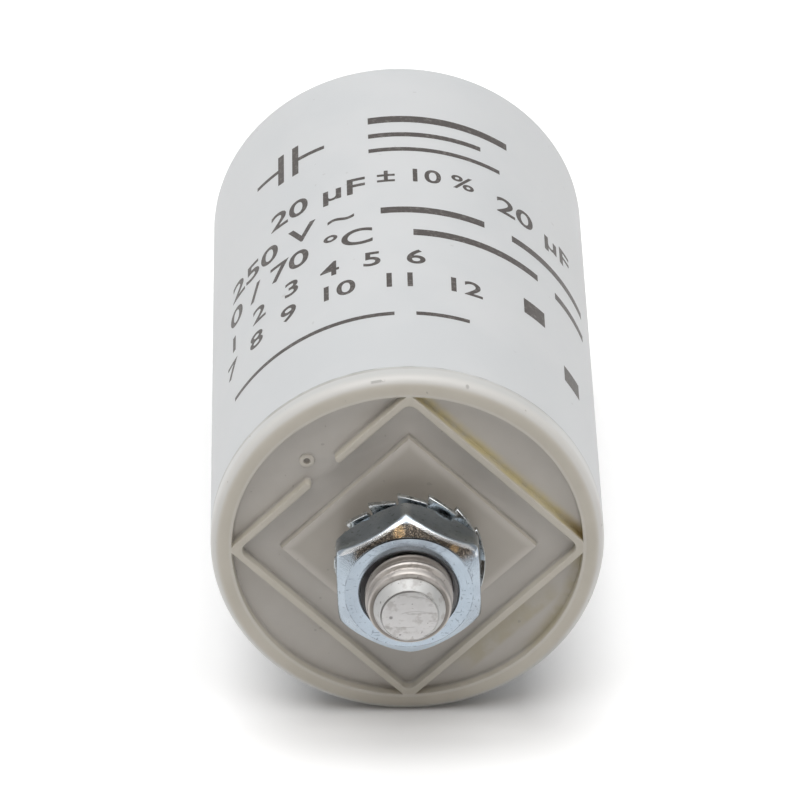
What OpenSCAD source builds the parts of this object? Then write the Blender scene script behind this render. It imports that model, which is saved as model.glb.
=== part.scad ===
// Motor capacitor in a round plastic can, with mounting stud, lock washer and nut.
// Millimetres. Origin at the centre of the base rim, +Y to the terminals, +Z up as it lies.

/* [Can] */
// Outside diameter of can and base
can_diameter = 36; // [30:0.5:50]
// Length from the base rim to the far end of the can
can_length = 59; // [50:0.5:110]
// Thickness of the can wall
can_wall = 1.5; // [1.2:0.1:2.5]
// Thickness of the far end, pads left out
end_wall = 2.6; // [2:0.1:4]
// Depth of the sunk field on the far end
end_recess = 0.8; // [0.4:0.1:1.2]
// Width of the rim round the sunk field
end_rim = 2.6; // [1.5:0.1:4]
// Rounding of the far edge
end_edge_radius = 1; // [0.4:0.1:1.4]
// Margin of the raised pads round the terminals' feet
pad_margin = 0.6; // [0.3:0.1:1]
// Rounding of the pads' corners
pad_corner_radius = 1.2; // [0.5:0.1:2]

/* [Base] */
// Distance from the base rim to the seam with the can
flange_height = 2.25; // [1.6:0.05:4]
// Rounding of the outer edge of the base
base_edge_radius = 1.1; // [0.3:0.1:1.2]
// Width of the rim round the recess
rim_width = 1.95; // [1.4:0.05:3]
// Depth of the recess below the rim
recess_depth = 1; // [0.6:0.1:1.4]
// Distance from the recess wall to the middle of the rib square's corners
rib_setback = 0.07; // [0:0.01:0.5]
// Width of the thin ribs
rib_width = 0.76; // [0.6:0.02:1.4]
// Length of the gap in one rib, between the ends of the rib
rib_gap = 3.4; // [1.5:0.1:6]
// Distance of that gap from the middle of the rib
rib_gap_shift = 0.3; // [-2:0.05:2]
// Rounding of the inner corners of the rib square
rib_corner_radius = 0.9; // [0.3:0.1:2]
// Distance from the ribs to the raised square platform
platform_gap = 2.63; // [1.5:0.01:4]
// Height of the platform above the recess floor
platform_rise = 0.7; // [0.2:0.05:0.8]
// Width of the platform's sloping edge
platform_slope = 0.1; // [0.05:0.05:0.8]
// Outside diameter of the small raised ring
ring_diameter = 1.35; // [1:0.05:1.8]
// Hole of the small raised ring
ring_hole = 0.6; // [0.3:0.05:0.8]
// Height of the small raised ring
ring_rise = 0.2; // [0.1:0.05:0.4]
// Distance from the rib to the ring
ring_gap = 0.3; // [0.1:0.05:0.6]
// Distance of the ring from the middle of the rib
ring_shift = 0.27; // [-2:0.01:2]
// Plastic behind the recess
base_floor = 2.4; // [1.8:0.1:4]
// Length of the spigot inside the can
spigot_length = 3.4; // [2:0.1:5]
// Wall of the spigot
spigot_wall = 1.6; // [1:0.1:2.5]
// Radial gap between spigot and can
spigot_gap = 0.05; // [0.02:0.01:0.15]
// Bevel on both edges of the seam
seam_bevel = 0.15; // [0.05:0.05:0.3]

/* [Stud] */
// Thread diameter
stud_diameter = 8; // [6:0.5:10]
// Thread pitch
thread_pitch = 1.25; // [0.75:0.05:1.5]
// Length of thread in front of the nut
thread_beyond_nut = 1.3; // [0.8:0.1:15]
// Depth of the bevel at the thread's end
thread_bevel = 0.45; // [0.2:0.05:0.7]
// Length of that bevel
thread_bevel_length = 0.8; // [0.3:0.1:1.5]
// Step down from the thread to the turned-down end
pilot_step = 0.8; // [0.75:0.05:1.2]
// Length over which the stud steps down from that bevel to the turned-down end
neck_length = 0.55; // [0.2:0.05:1]
// Length of the turned-down end, tip bevel left out
pilot_length = 1.05; // [0.5:0.05:1.5]
// Narrowing of the turned-down end over its length
pilot_taper = 0.45; // [0.1:0.05:0.7]
// Bevel of the tip
tip_bevel = 0.2; // [0.1:0.05:0.5]
// Hex head inside the base, across flats
head_flats = 13; // [12:0.5:17]
// Thickness of the hex head
head_height = 3; // [2:0.1:5]
// Depth of the head behind the platform
head_depth = 3.3; // [2:0.1:4]
// Plastic around and behind the head
head_cover = 1.6; // [1:0.1:3]

/* [Nut and washer] */
// Nut size across flats
nut_flats = 13; // [11:0.5:16]
// Width of the bevel round the nut's front, at the flats
nut_bevel = 0.7; // [0.3:0.05:0.8]
// Width of the bevel round the nut's back, at the flats
nut_back_bevel = 0.1; // [0.05:0.05:0.8]
// Slope of both bevels, in degrees
nut_bevel_slope = 40; // [30:1:42]
// Nut thickness
nut_height = 4.5; // [3.8:0.1:6.8]
// Distance from the base rim to the back of the nut
nut_standoff = 3.1; // [2:0.1:3.3]
// Turn of the nut from corner-up, in degrees
nut_turn = 2.1; // [-30:0.1:30]
// Width of the countersink's mouth beyond the thread diameter
countersink_width = 1.1; // [0.3:0.1:1.6]
// Play of the washer's hole on the stud
washer_play = 0.5; // [0.2:0.1:0.8]
// Gap between the washer and what it hangs on
washer_clearance = 0.05; // [0.02:0.01:0.1]
// Thickness of the washer
washer_thickness = 0.8; // [0.5:0.05:1]
// Width of the flat ring the teeth stand on
washer_ring = 1.35; // [0.8:0.05:2]
// Length of the teeth
tooth_length = 1.4; // [1:0.05:2.2]
// Number of teeth
tooth_count = 15; // [10:1:20]
// Share of the pitch that a tooth fills
tooth_share = 0.9; // [0.6:0.01:0.94]
// Twist of a tooth's tip, from its middle to one corner
tooth_twist = 0.5; // [0.2:0.05:0.6]
// Turn of the washer, in degrees
washer_turn = 87; // [0:0.5:360]

/* [Terminals] */
// Distance between the two terminals
terminal_pitch = 15; // [12:0.5:18]
// Width of a blade
blade_width = 6.3; // [4.8:0.1:6.3]
// Thickness of a blade
blade_thickness = 0.8; // [0.5:0.1:0.8]
// Length of a blade above its foot
blade_length = 8.4; // [6:0.1:12]
// Room between the rivet head and each blade
blade_room = 0.8; // [0.5:0.1:2]
// Bevel of a blade's leading corners
blade_bevel = 1; // [0.4:0.1:1.4]
// Inside radius of the bends between foot and blades
foot_bend = 0.4; // [0.2:0.1:0.8]
// Distance from a blade's end to its latch hole
latch_depth = 3.6; // [2.5:0.1:5]
// Latch hole in a blade
latch_hole = 1.8; // [1.2:0.1:2.2]
// Diameter of the rivet shank
rivet_diameter = 3; // [2:0.1:3.5]
// Overhang of the rivet head beyond the shank
rivet_lip = 0.9; // [0.5:0.1:1.5]
// Height of the rivet's head and tail
rivet_rise = 0.8; // [0.5:0.1:1]

/* [Inside] */
// Gap between the winding and the long lead
winding_gap = 0.4; // [0.2:0.1:1.5]
// Gap between the long lead and the can wall
lead_gap = 0.3; // [0.2:0.1:1]
// Thickness of the sprayed metal faces
spray_thickness = 0.6; // [0.3:0.1:1]
// Outside diameter of the winding core
core_diameter = 5; // [4:0.5:8]
// Wall of the winding core
core_wall = 1; // [0.6:0.1:1.5]
// Diameter of the leads
lead_diameter = 1.2; // [0.8:0.1:1.2]
// Bend radius of the long lead
lead_bend = 1.5; // [1.2:0.1:1.8]
// Straight length of the leads at rivets and sprayed faces
lead_stub = 0.8; // [0.5:0.1:2]
// Gap between the long lead and the far sprayed face
lead_room = 0.8; // [0.5:0.1:2]
// Resin between the base and the near sprayed face
base_room = 4.2; // [3.5:0.1:8]

/* [Hidden] */
$fn = 128;

// Depth by which joined shapes reach into each other, and by which cuts run past a face
overlap = 0.2;
past = 1;

can_r = can_diameter / 2;
can_in = can_r - can_wall;
end_inside = can_length - end_wall;
end_field_r = can_r - end_rim;

recess_r = can_r - rim_width;
rib_mid = recess_r - rib_setback;
rib_inner = rib_mid - rib_width / sqrt(2);
rib_outer = rib_mid + rib_width / sqrt(2);
platform_half = rib_inner - platform_gap * sqrt(2);
platform_face = recess_depth - platform_rise;
ring_out = rib_outer / sqrt(2) + ring_gap + ring_diameter / 2;
floor_inside = recess_depth + base_floor;
spigot_r = can_in - spigot_gap;
spigot_in = spigot_r - spigot_wall;
spigot_end = flange_height + spigot_length;

stud_r = stud_diameter / 2;
pitch_r = stud_r - 3 / 8 * cos(30) * thread_pitch;
pilot_r = stud_r - pilot_step;
tip_r = pilot_r - pilot_taper - tip_bevel;
head_start = platform_face + head_depth;
head_r = head_flats / 2 / cos(30);
boss_r = head_r + head_cover;
boss_end = head_start + head_height + head_cover;

nut_r = nut_flats / 2 / cos(30);
nut_edge_r = nut_flats / 2 - nut_bevel;
nut_back_r = nut_flats / 2 - nut_back_bevel;
nut_front = nut_standoff + nut_height;
thread_front = nut_front + thread_beyond_nut;
thread_end = thread_front + thread_bevel_length;
pilot_start = thread_end + neck_length;
stud_length = pilot_start + pilot_length + tip_bevel;
mouth_r = stud_r + countersink_width / 2;
washer_bore = stud_r + washer_play / 2;
root_r = washer_bore + washer_ring;
washer_r = root_r + tooth_length;
washer_drop = washer_play / 2 - washer_clearance;
twist_start = root_r - overlap / 2;
tooth_rise = tooth_twist * max(nut_back_r + washer_drop - twist_start, 0) / (washer_r - twist_start);
washer_mid = nut_standoff - washer_thickness / 2 - tooth_rise - washer_clearance;
tooth_angle = 360 / tooth_count * tooth_share;
tooth_steps = 4;
tooth_relief = 0.03;

terminal_x = terminal_pitch / 2;
rivet_r = rivet_diameter / 2;
rivet_head = rivet_diameter + 2 * rivet_lip;
blade_span = rivet_head + 2 * blade_room + 2 * blade_thickness;
pad_length = blade_span + 2 * pad_margin;
pad_width = blade_width + 2 * pad_margin;
pad_foot = end_inside + (end_wall - end_recess) / 2;
blade_top = blade_thickness + blade_length;

lead_r = lead_diameter / 2;
tail_end = end_inside - rivet_rise;
run_above = tail_end - lead_stub - lead_bend;
winding_end = run_above - lead_r - lead_room - spray_thickness;
near_face = boss_end + base_room;
winding_start = near_face + spray_thickness;
far_face = winding_end + spray_thickness;
run_x = can_in - lead_r - lead_gap;
winding_r = run_x - lead_r - winding_gap;
core_r = core_diameter / 2;
start_x = run_x - 2 * lead_bend;
bend_below = near_face - lead_stub;

white = [0.86, 0.87, 0.88];
beige = [0.74, 0.71, 0.66];
silver = [0.80, 0.79, 0.77];
zinc = [0.72, 0.76, 0.80];
tin = [0.78, 0.78, 0.76];
film = [0.82, 0.84, 0.86];
copper = [0.72, 0.45, 0.30];
amber = [0.66, 0.60, 0.42];

can_body();
base_cap();
mounting_stud();
lock_washer();
hex_nut();
terminal_left();
terminal_right();
rivet_left();
rivet_right();
film_winding();
winding_core();
spray_near();
spray_far();
lead_short();
lead_long();
potting_resin();

// Each piece is drawn standing, with its height running from the base rim to the terminals,
// and laid down here: height becomes +Y and the drawing's +Y becomes -Z.
module lay() {
  rotate([-90, 0, 0]) children();
}

module rod(r, from, to) {
  translate([0, 0, from]) cylinder(r = r, h = to - from);
}

module rounded_rectangle(length, width, r) {
  square([length - 2 * r, width], center = true);
  square([length, width - 2 * r], center = true);
  for (x = [-1, 1])
    for (y = [-1, 1])
      translate([x * (length / 2 - r), y * (width / 2 - r)]) circle(r = r);
}

module can_body() {
  color(white) lay() difference() {
    union() {
      rotate_extrude() can_section();
      for (side = [-1, 1])
        translate([side * terminal_x, 0, pad_foot])
          linear_extrude(can_length - pad_foot)
            rounded_rectangle(pad_width, pad_length, pad_corner_radius);
    }
    for (side = [-1, 1])
      translate([side * terminal_x, 0, 0]) rod(rivet_r, end_inside - past, can_length + past);
  }
}

module can_section() {
  difference() {
    union() {
      translate([0, flange_height]) square([can_r, can_length - flange_height - end_edge_radius]);
      translate([0, flange_height]) square([can_r - end_edge_radius, can_length - flange_height]);
      translate([can_r - end_edge_radius, can_length - end_edge_radius]) circle(r = end_edge_radius);
    }
    square([can_in, end_inside]);
    translate([0, can_length - end_recess]) square([end_field_r, end_recess + past]);
    translate([can_r, flange_height]) seam_cut();
  }
}

module seam_cut() {
  polygon([
    [-seam_bevel, 0],
    [0, -seam_bevel],
    [past, -seam_bevel],
    [past, seam_bevel],
    [0, seam_bevel]
  ]);
}

module base_cap() {
  color(beige) lay() difference() {
    union() {
      rotate_extrude() base_section();
      linear_extrude(recess_depth + overlap) rib_plan();
      translate([0, 0, platform_face]) platform();
      rotate(45) translate([-ring_out, ring_shift, recess_depth - ring_rise]) raised_ring();
    }
    rod(stud_r, -past, head_start + overlap);
    translate([0, 0, head_start]) stud_head();
  }
}

module base_section() {
  difference() {
    union() {
      translate([0, base_edge_radius]) square([can_r, flange_height - base_edge_radius]);
      square([can_r - base_edge_radius, flange_height]);
      translate([can_r - base_edge_radius, base_edge_radius]) circle(r = base_edge_radius);
    }
    square([recess_r, recess_depth]);
    translate([can_r, flange_height]) seam_cut();
  }
  translate([0, recess_depth]) square([spigot_r, base_floor]);
  translate([spigot_in, flange_height]) square([spigot_wall, spigot_length]);
  translate([0, recess_depth]) square([boss_r, boss_end - recess_depth]);
}

// The ribs as seen from behind: a square standing on its corner, cut off inside the rim.
module rib_plan() {
  intersection() {
    circle(r = recess_r + overlap);
    union() {
      difference() {
        rotate(45) square(rib_outer * sqrt(2), center = true);
        rotate(45) rounded_rectangle(rib_inner * sqrt(2), rib_inner * sqrt(2), rib_corner_radius);
        rotate(45) translate([-rib_mid / sqrt(2), -rib_gap_shift])
          square([3 * rib_width, rib_gap + rib_width], center = true);
      }
      rotate(45)
        for (end = [-1, 1])
          translate([-rib_mid / sqrt(2), end * (rib_gap + rib_width) / 2 - rib_gap_shift])
            circle(d = rib_width);
    }
  }
}

module platform() {
  cylinder(r1 = platform_half, r2 = platform_half + platform_slope * sqrt(2), h = platform_rise, $fn = 4);
  translate([0, 0, platform_rise / 2])
    cylinder(r = platform_half, h = platform_rise / 2 + overlap, $fn = 4);
}

module raised_ring() {
  difference() {
    cylinder(d = ring_diameter, h = ring_rise + overlap);
    translate([0, 0, -past]) cylinder(d = ring_hole, h = ring_rise + past);
  }
}

module stud_head() {
  cylinder(r = head_r, h = head_height, $fn = 6);
}

// In the nut both threads are drawn at their pitch diameter, so they meet and don't overlap.
module mounting_stud() {
  color(silver) lay() union() {
    rotate_extrude() polygon([
      [0, -stud_length],
      [tip_r, -stud_length],
      [tip_r + tip_bevel, -stud_length + tip_bevel],
      [pilot_r, -pilot_start],
      [stud_r - thread_bevel, -thread_end],
      [stud_r, -thread_front],
      [stud_r, -nut_front],
      [pitch_r, -nut_front],
      [pitch_r, -nut_standoff],
      [stud_r, -nut_standoff],
      [stud_r, head_start],
      [0, head_start]
    ]);
    translate([0, 0, head_start]) stud_head();
  }
}

module hex_nut() {
  slope = tan(nut_bevel_slope);
  bevel = (nut_r - nut_edge_r) * slope;
  back_bevel = (nut_r - nut_back_r) * slope;
  color(zinc) lay() translate([0, 0, -nut_front]) difference() {
    intersection() {
      rotate(90 - nut_turn) cylinder(r = nut_r, h = nut_height, $fn = 6);
      rotate_extrude() polygon([
        [0, 0],
        [nut_edge_r, 0],
        [nut_r + past, bevel + past * slope],
        [nut_r + past, nut_height - back_bevel - past * slope],
        [nut_back_r, nut_height],
        [0, nut_height]
      ]);
    }
    rod(pitch_r, -past, nut_height + past);
    mouth = mouth_r - pitch_r;
    translate([0, 0, -past]) cylinder(r1 = mouth_r + past, r2 = pitch_r, h = mouth + past);
    translate([0, 0, nut_height - mouth])
      cylinder(r1 = pitch_r, r2 = mouth_r + past, h = mouth + past);
  }
}

// Points of one tooth: rows run outwards, each with three columns and a front and a back point.
function tooth_row_share(i) = i == 0 ? 0 : (i - 1) / (tooth_steps - 1);
function tooth_row_r(i) =
  i == 0 ? twist_start - overlap : twist_start + (washer_r - twist_start) * tooth_row_share(i);
function tooth_points(turn) = [
  for (i = [0 : tooth_steps])
    for (j = [-1, 0, 1])
      for (s = [-1, 1])
        [
          tooth_row_r(i) * cos(turn + j * tooth_angle / 2),
          tooth_row_r(i) * sin(turn + j * tooth_angle / 2),
          -j * tooth_twist * tooth_row_share(i) + s * (washer_thickness - tooth_relief) / 2
        ]
];
function tooth_quad(a, b, c, d) = [[a, c, b], [a, d, c]];
function tooth_faces() = [
  for (i = [0 : tooth_steps - 1])
    for (j = [0, 1])
      for (q = concat(
        tooth_quad(6 * i + 2 * j, 6 * i + 2 * j + 2, 6 * i + 2 * j + 8, 6 * i + 2 * j + 6),
        tooth_quad(6 * i + 2 * j + 1, 6 * i + 2 * j + 7, 6 * i + 2 * j + 9, 6 * i + 2 * j + 3)
      )) q,
  for (i = [0 : tooth_steps - 1])
    for (q = concat(
      tooth_quad(6 * i, 6 * i + 6, 6 * i + 7, 6 * i + 1),
      tooth_quad(6 * i + 4, 6 * i + 5, 6 * i + 11, 6 * i + 10)
    )) q,
  for (j = [0, 1])
    for (q = concat(
      tooth_quad(2 * j, 2 * j + 1, 2 * j + 3, 2 * j + 2),
      tooth_quad(6 * tooth_steps + 2 * j, 6 * tooth_steps + 2 * j + 2,
                 6 * tooth_steps + 2 * j + 3, 6 * tooth_steps + 2 * j + 1)
    )) q
];

module lock_washer() {
  color(zinc) lay() translate([0, washer_drop, -washer_mid]) difference() {
    union() {
      translate([0, 0, -washer_thickness / 2]) cylinder(r = root_r, h = washer_thickness);
      for (k = [0 : tooth_count - 1])
        polyhedron(
          points = tooth_points(-washer_turn + k * 360 / tooth_count),
          faces = tooth_faces()
        );
    }
    translate([0, 0, -washer_thickness]) cylinder(r = washer_bore, h = 2 * washer_thickness);
  }
}

module u_outline(width, height, r) {
  translate([-width / 2 + r, 0]) square([width - 2 * r, height]);
  translate([-width / 2, r]) square([width, height - r]);
  for (side = [-1, 1])
    translate([side * (width / 2 - r), r]) circle(r = r);
}

module terminal(side) {
  inner = blade_span - 2 * blade_thickness;
  translate([side * terminal_x, 0, can_length]) difference() {
    intersection() {
      rotate([90, 0, 90]) linear_extrude(blade_width, center = true) difference() {
        u_outline(blade_span, blade_top, blade_thickness + foot_bend);
        translate([0, blade_thickness]) u_outline(inner, blade_top, foot_bend);
      }
      rotate([90, 0, 0]) linear_extrude(2 * blade_span, center = true) polygon([
        [-blade_width / 2 - past, -past],
        [blade_width / 2 + past, -past],
        [blade_width / 2 + past, blade_top - blade_bevel - past],
        [blade_width / 2 - blade_bevel, blade_top],
        [-blade_width / 2 + blade_bevel, blade_top],
        [-blade_width / 2 - past, blade_top - blade_bevel - past]
      ]);
    }
    rotate([90, 0, 0]) translate([0, blade_top - latch_depth, -blade_span])
      cylinder(d = latch_hole, h = 2 * blade_span);
    rod(rivet_r, -past, blade_thickness + past);
  }
}

module terminal_left() {
  color(tin) lay() terminal(-1);
}

module terminal_right() {
  color(tin) lay() terminal(1);
}

module rivet(side) {
  translate([side * terminal_x, 0, 0]) union() {
    rod(rivet_r, end_inside - rivet_rise / 2, can_length + blade_thickness + rivet_rise / 2);
    translate([0, 0, can_length + blade_thickness])
      cylinder(d1 = rivet_head, d2 = rivet_head - rivet_rise, h = rivet_rise);
    translate([0, 0, tail_end]) cylinder(d = rivet_head, h = rivet_rise);
  }
}

module rivet_left() {
  color(tin) lay() rivet(-1);
}

module rivet_right() {
  color(tin) lay() rivet(1);
}

module film_winding() {
  color(film) lay() difference() {
    rod(winding_r, winding_start, winding_end);
    rod(core_r, winding_start - past, winding_end + past);
  }
}

module winding_core() {
  color(white) lay() difference() {
    rod(core_r, near_face, far_face);
    rod(core_r - core_wall, near_face - past, far_face + past);
  }
}

module spray(from) {
  difference() {
    rod(winding_r, from, from + spray_thickness);
    rod(core_r, from - past, from + spray_thickness + past);
  }
}

module spray_near() {
  color(silver) lay() spray(near_face);
}

module spray_far() {
  color(silver) lay() spray(winding_end);
}

module lead_short() {
  color(copper) lay() short_wire();
}

module short_wire() {
  translate([-terminal_x, 0, 0]) rod(lead_r, far_face, tail_end);
}

module lead_long() {
  color(copper) lay() long_wire();
}

// A bend in the plane of X and height, round the point x, h, from angle turn over angle sweep.
module bend(x, h, turn, sweep) {
  translate([x, 0, h]) rotate([90, 0, 0]) rotate(turn)
    rotate_extrude(angle = sweep) translate([lead_bend, 0]) circle(r = lead_r);
}

module long_wire() {
  translate([start_x, 0, 0]) rod(lead_r, bend_below, near_face);
  bend(start_x + lead_bend, bend_below, 180, 180);
  translate([run_x, 0, 0]) rod(lead_r, bend_below, run_above - lead_bend);
  bend(run_x - lead_bend, run_above - lead_bend, 0, 90);
  translate([0, 0, run_above]) rotate([0, 90, 0]) rod(lead_r, terminal_x + lead_bend, run_x - lead_bend);
  bend(terminal_x + lead_bend, run_above + lead_bend, 180, 90);
  translate([terminal_x, 0, 0]) rod(lead_r, run_above + lead_bend, tail_end);
}

module potting_resin() {
  color(amber) lay() difference() {
    union() {
      rod(can_in, spigot_end, end_inside);
      rod(spigot_in, floor_inside, spigot_end + past);
    }
    rod(boss_r, floor_inside - past, boss_end);
    rod(winding_r, near_face, far_face);
    short_wire();
    long_wire();
    for (side = [-1, 1])
      translate([side * terminal_x, 0, 0]) rod(rivet_head / 2, tail_end, end_inside + past);
  }
}
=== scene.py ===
"""Looks of a stud-mounted film capacitor: meshes, materials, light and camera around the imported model."""

import math

import bmesh
import bpy
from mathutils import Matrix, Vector
from mathutils.geometry import tessellate_polygon


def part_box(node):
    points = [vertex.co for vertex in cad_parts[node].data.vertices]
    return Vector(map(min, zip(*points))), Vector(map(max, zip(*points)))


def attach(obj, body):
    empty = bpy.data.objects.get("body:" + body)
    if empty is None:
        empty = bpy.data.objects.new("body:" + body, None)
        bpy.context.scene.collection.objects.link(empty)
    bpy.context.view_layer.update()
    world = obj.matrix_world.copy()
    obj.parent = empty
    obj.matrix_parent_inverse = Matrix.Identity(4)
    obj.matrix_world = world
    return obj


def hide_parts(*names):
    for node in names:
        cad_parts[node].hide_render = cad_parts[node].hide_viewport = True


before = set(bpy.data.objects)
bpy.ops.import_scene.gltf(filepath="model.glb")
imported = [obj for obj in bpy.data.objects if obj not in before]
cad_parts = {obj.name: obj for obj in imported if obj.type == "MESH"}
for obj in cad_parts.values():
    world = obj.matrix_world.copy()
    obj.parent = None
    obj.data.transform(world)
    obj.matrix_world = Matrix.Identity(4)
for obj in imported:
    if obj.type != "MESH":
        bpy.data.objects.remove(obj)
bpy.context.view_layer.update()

# Metres in a millimetre, faces round the pieces and steps along their arcs
MM = 0.001
ROOT2 = math.sqrt(2)
SEGMENTS = 288
STUD_SEGMENTS = 180
NUT_SEGMENTS = 360
RING_SEGMENTS = 32
FLOOR_SEGMENTS = 96
EDGE_STEPS = 10
RIM_STEPS = 72
RIB_END_STEPS = 12
RIB_CORNER_STEPS = 8
FILLET_STEPS = 5
# Corners of a square, by their signs
SQUARE = ((1, 1), (1, -1), (-1, -1), (-1, 1))
# Distances under which points are joined and slivers removed
WELD = 0.0005
SLIVER = 0.0001


def span(node):
    """Lowest and highest corner of a CAD node, in millimetres."""
    low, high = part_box(node)
    return low / MM, high / MM


# Sizes in millimetres, from the frame where it has them
can_low, can_high = span("can_body")
base_high = span("base_cap")[1]
nut_low, nut_high = span("hex_nut")
stud_low, stud_high = span("mounting_stud")
washer_low, washer_high = span("lock_washer")

CAN_R = can_high.x
CAN_END = can_high.y
SEAM = can_low.y
CAN_WALL = 1.5
END_WALL = 2.6
END_RECESS = 0.8
END_RIM = 2.6
END_EDGE = 1.0
END_LIP = 0.15
PAD_MARGIN = 0.6
PAD_CORNER = 1.2
SEAM_BEVEL = 0.05

RIM_WIDTH = 1.95
RECESS_R = CAN_R - RIM_WIDTH
RECESS_DEPTH = 1.0
BASE_EDGE = 1.1
RIB_WIDTH = 0.66
RIB_MID = RECESS_R / ROOT2
RIB_INNER = RIB_MID - RIB_WIDTH / 2
RIB_OUTER = RIB_MID + RIB_WIDTH / 2
RIB_CORNER = 0.9
RIB_GAP = 3.4
GAP_HALF = (RIB_GAP + RIB_WIDTH) / 2
GAP_SHIFT = 0.3
RIB_SHIFT = -0.2
TOP_ROUND = 0.1
WALL_DRAFT = 0.05
FOOT_ROUND = 0.12
PLATFORM_GAP = 2.8
PLATFORM_HALF = RIB_INNER - PLATFORM_GAP
PLATFORM_RISE = 0.7
PLATFORM_SLOPE = 0.1
RING_R = 0.675
RING_HOLE = 0.3
RING_RISE = 0.2
RING_PLACE = (-9.12, 8.9)
SHELF = 3.4
SPIGOT_LENGTH = 3.4
SPIGOT_WALL = 1.6
SPIGOT_GAP = 0.05
BOSS_R = 9.1

STUD_R = 4.0
PITCH = 1.25
PITCH_R = STUD_R - 3 / 8 * math.cos(math.radians(30)) * PITCH
TIP = stud_low.y
PILOT_R = 3.2
TIP_R = 2.55
PILOT_LENGTH = 1.25
PILOT_START = TIP + PILOT_LENGTH
SHOULDER = PILOT_START + 0.5
THREAD_END = PILOT_START + 1.35
CREST = THREAD_END + 0.27
CREST_HALF = 0.04
CREST_SLOPE = 0.6
FLANK_START = 0.13
FLANK_SLOPE = 1.73
THREAD_DEPTH = 0.38
LEAD_IN_SLOPE = 0.22
FADE_START = 0.1
FADE_LENGTH = 0.3
THREAD_STEP = 0.03
THREAD_ROWS = 99
BACK_STEP = 0.08
BACK_ROWS = 46
HEAD_FLATS = 13.0
HEAD_HEIGHT = 3.0
HEAD_EDGE = 0.2
HEAD_FACE = 0.94
HEAD_START = stud_high.y - HEAD_HEIGHT

NUT_FLATS = 13.0
NUT_HALF = NUT_FLATS / 2
NUT_TURN = 92.1
NUT_CORNER_CUT = 0.05
NUT_CORNER_BEND = 9
NUT_BEVEL = 0.7
NUT_BACK_BEVEL = 0.1
NUT_FACE_R = NUT_HALF - NUT_BEVEL
NUT_BACK_R = NUT_HALF - NUT_BACK_BEVEL
NUT_SLOPE = math.tan(math.radians(40))
NUT_MOUTH_R = 4.55
NUT_FRONT = nut_low.y
NUT_BACK = nut_high.y
# Painted gold glints on the nut's cone: x, z and reach
NUT_GOLD_GLINTS = ((-0.9, 6.2, 0.75), (4.1, 4.6, 0.6))

WASHER_BORE = 4.25
WASHER_ROOT = 5.5
WASHER_R = 6.9
WASHER_THICKNESS = 0.8
TOOTH_COUNT = 15
TOOTH_SHARE = 0.94
TOOTH_TWIST = 0.65
TOOTH_BOW = 0.15
TOOTH_THIN = 0.22
WASHER_TURN = 88.0
WASHER_MID = (washer_low.y + washer_high.y) / 2
WASHER_OFF = (0.15, 0.0)
WASHER_SOFT = 0.08


def add_object(name, data):
    """A new object in the scene."""
    made = bpy.data.objects.new(name, data)
    bpy.context.scene.collection.objects.link(made)
    return made


def new_mesh(name, bm):
    """A mesh with the faces of a bmesh, which is freed."""
    mesh = bpy.data.meshes.new(name)
    bm.to_mesh(mesh)
    bm.free()
    return mesh


class Shape:
    """Points in millimetres and the faces between them, added ring by ring."""

    def __init__(self):
        self.points = []
        self.faces = []

    def ring(self, points):
        start = len(self.points)
        self.points.extend(points)
        return list(range(start, len(self.points)))

    def bridge(self, a, b, closed=True):
        count = len(a) if closed else len(a) - 1
        for i in range(count):
            j = (i + 1) % len(a)
            self.faces.append((a[i], a[j], b[j], b[i]))

    def skin(self, outlines):
        """Rings of points, each bridged to the one before. Returns the rings."""
        rings = [self.ring(outline) for outline in outlines]
        for a, b in zip(rings, rings[1:]):
            self.bridge(a, b)
        return rings

    def fan(self, ring, point):
        tip = self.ring([point])[0]
        for i, index in enumerate(ring):
            self.faces.append((index, ring[(i + 1) % len(ring)], tip))

    def fill(self, *rings):
        """A flat face inside the first ring, with the other rings as holes."""
        loops = [[Vector(self.points[i]) for i in ring] for ring in rings]
        order = [i for ring in rings for i in ring]
        for triangle in tessellate_polygon(loops):
            self.faces.append(tuple(order[i] for i in triangle))

    def revolve(self, profile, segments=SEGMENTS, centre=(0, 0), radius_at=None):
        """Turns points (radius, y) round the Y axis through centre (x, z). Returns the rings."""
        turns = [2 * math.pi * k / segments for k in range(segments)]
        rings = []
        pole = None
        for radius, y in profile:
            if radius < SLIVER:
                point = (centre[0], y, centre[1])
                if rings:
                    self.fan(rings[-1], point)
                pole = point
                continue
            ring = []
            for t in turns:
                r = radius_at(radius, y, t) if radius_at else radius
                ring.append((centre[0] + r * math.cos(t), y, centre[1] + r * math.sin(t)))
            ring = self.ring(ring)
            if rings:
                self.bridge(rings[-1], ring)
            elif pole:
                self.fan(ring, pole)
            rings.append(ring)
        return rings

    def piece(self, name, surface, sharp=32):
        """A Blender object that rides on the part, smooth but for edges sharper than the given angle."""
        bm = bmesh.new()
        verts = [bm.verts.new(Vector(p) * MM) for p in self.points]
        for face in self.faces:
            if len(set(face)) > 2:
                bm.faces.new([verts[i] for i in face])
        bmesh.ops.remove_doubles(bm, verts=bm.verts, dist=WELD * MM)
        bmesh.ops.dissolve_degenerate(bm, edges=bm.edges, dist=SLIVER * MM)
        bmesh.ops.recalc_face_normals(bm, faces=bm.faces)
        return finish_piece(name, new_mesh(name, bm), surface, sharp)


def finish_piece(name, mesh, surface, sharp):
    """A shaded object with a mesh and a material, which rides on the part."""
    mesh.shade_smooth()
    mesh.set_sharp_from_angle(angle=math.radians(sharp))
    mesh.materials.append(surface)
    piece = add_object(name, mesh)
    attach(piece, "root")
    return piece


def arc(centre, radius, start, end, steps):
    """Points along an arc, angles in degrees."""
    turns = [math.radians(start + (end - start) * i / steps) for i in range(steps + 1)]
    return [(centre[0] + radius * math.cos(t), centre[1] + radius * math.sin(t)) for t in turns]


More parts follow.
